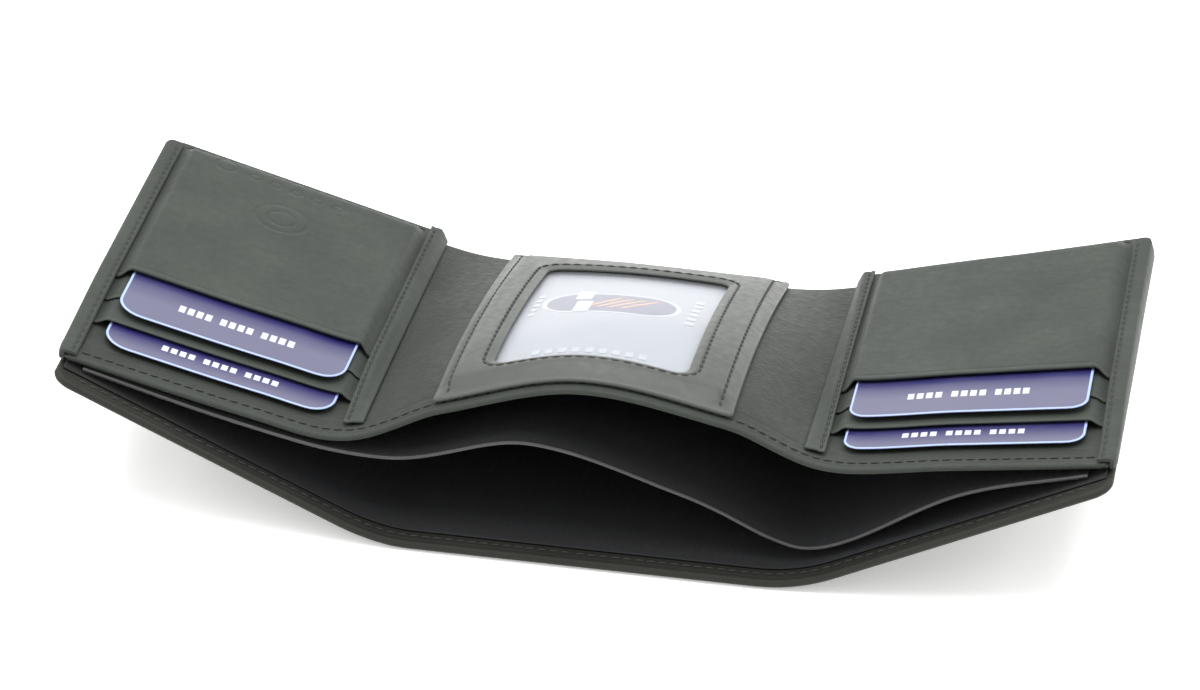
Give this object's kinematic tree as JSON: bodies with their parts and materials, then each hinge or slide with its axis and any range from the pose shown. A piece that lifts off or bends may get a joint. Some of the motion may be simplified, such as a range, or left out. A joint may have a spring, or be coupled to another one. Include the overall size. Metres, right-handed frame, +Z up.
{
  "type": "trifold wallet",
  "caption": "Dark leather trifold wallet lying open: window panel in the middle, a wing of card slots each side, note compartment along the near edge.",
  "frame": {"origin": "middle of the open wallet's length and depth, on the surface it lies on", "axes": "+X along the wallet towards the right wing, +Y towards the sewn far edge, +Z up; the note compartment opens towards -Y"},
  "size_m": [0.2326, 0.114, 0.042],
  "materials": {
    "leather": "smooth matt",
    "grained": "pebbled matt",
    "lining": "matt woven",
    "thread": "matt",
    "card": "satin",
    "insert": "satin",
    "film": "clear"
  },
  "bodies": {
    "centre": {"cover_centre": "leather", "lining_centre": "lining", "divider_centre": "lining", "liner_centre": "grained", "window_frame": "leather", "window_film": "film", "id_card": "insert", "window_seam": "thread", "frame_seam_left": "thread", "frame_seam_right": "thread", "hem_seam_centre": "thread", "cover_fold_left": "leather", "lining_fold_left": "lining", "divider_fold_left": "lining", "liner_fold_left": "grained", "cover_fold_right": "leather", "lining_fold_right": "lining", "divider_fold_right": "lining", "liner_fold_right": "grained"},
    "left_wing": {"cover_left": "leather", "lining_left": "lining", "divider_left": "lining", "liner_left": "leather", "pocket_back_left": "leather", "pocket_middle_left": "leather", "pocket_front_left": "leather", "edge_strip_left": "leather", "end_binding_left": "leather", "inner_seam_left": "thread", "outer_seam_left": "thread", "hem_seam_left": "thread"},
    "right_wing": {"cover_right": "leather", "lining_right": "lining", "divider_right": "lining", "liner_right": "leather", "pocket_back_right": "leather", "pocket_middle_right": "leather", "pocket_front_right": "leather", "edge_strip_right": "leather", "end_binding_right": "leather", "inner_seam_right": "thread", "outer_seam_right": "thread", "hem_seam_right": "thread"},
    "card_front_left": {"card_front_left": "card"},
    "card_back_left": {"card_back_left": "card"},
    "card_front_right": {"card_front_right": "card"},
    "card_back_right": {"card_back_right": "card"}
  },
  "joints": [
    {"name": "left_fold", "type": "hinge", "parent": "centre", "child": "left_wing", "pos_m": [-0.043, 0.0531, 0.008], "axis": [0, 0.9762, -0.2169], "range_deg": [-12, 125], "deforming": ["cover_fold_left", "lining_fold_left", "divider_fold_left", "liner_fold_left"]},
    {"name": "right_fold", "type": "hinge", "parent": "centre", "child": "right_wing", "pos_m": [0.043, 0.0531, 0.0064], "axis": [0, -0.9657, 0.2595], "range_deg": [-10, 100], "deforming": ["cover_fold_right", "lining_fold_right", "divider_fold_right", "liner_fold_right"]},
    {"name": "card_front_left_slide", "type": "slide", "parent": "left_wing", "child": "card_front_left", "axis": [0, -0.9931, 0.1171], "range_m": [-0.002, 0.036]},
    {"name": "card_back_left_slide", "type": "slide", "parent": "left_wing", "child": "card_back_left", "axis": [0, -0.9922, 0.125], "range_m": [-0.01, 0.034]},
    {"name": "card_front_right_slide", "type": "slide", "parent": "right_wing", "child": "card_front_right", "axis": [0, -0.9882, 0.1533], "range_m": [-0.002, 0.015]},
    {"name": "card_back_right_slide", "type": "slide", "parent": "right_wing", "child": "card_back_right", "axis": [0, -0.9869, 0.1611], "range_m": [-0.01, 0.011]}
  ]
}
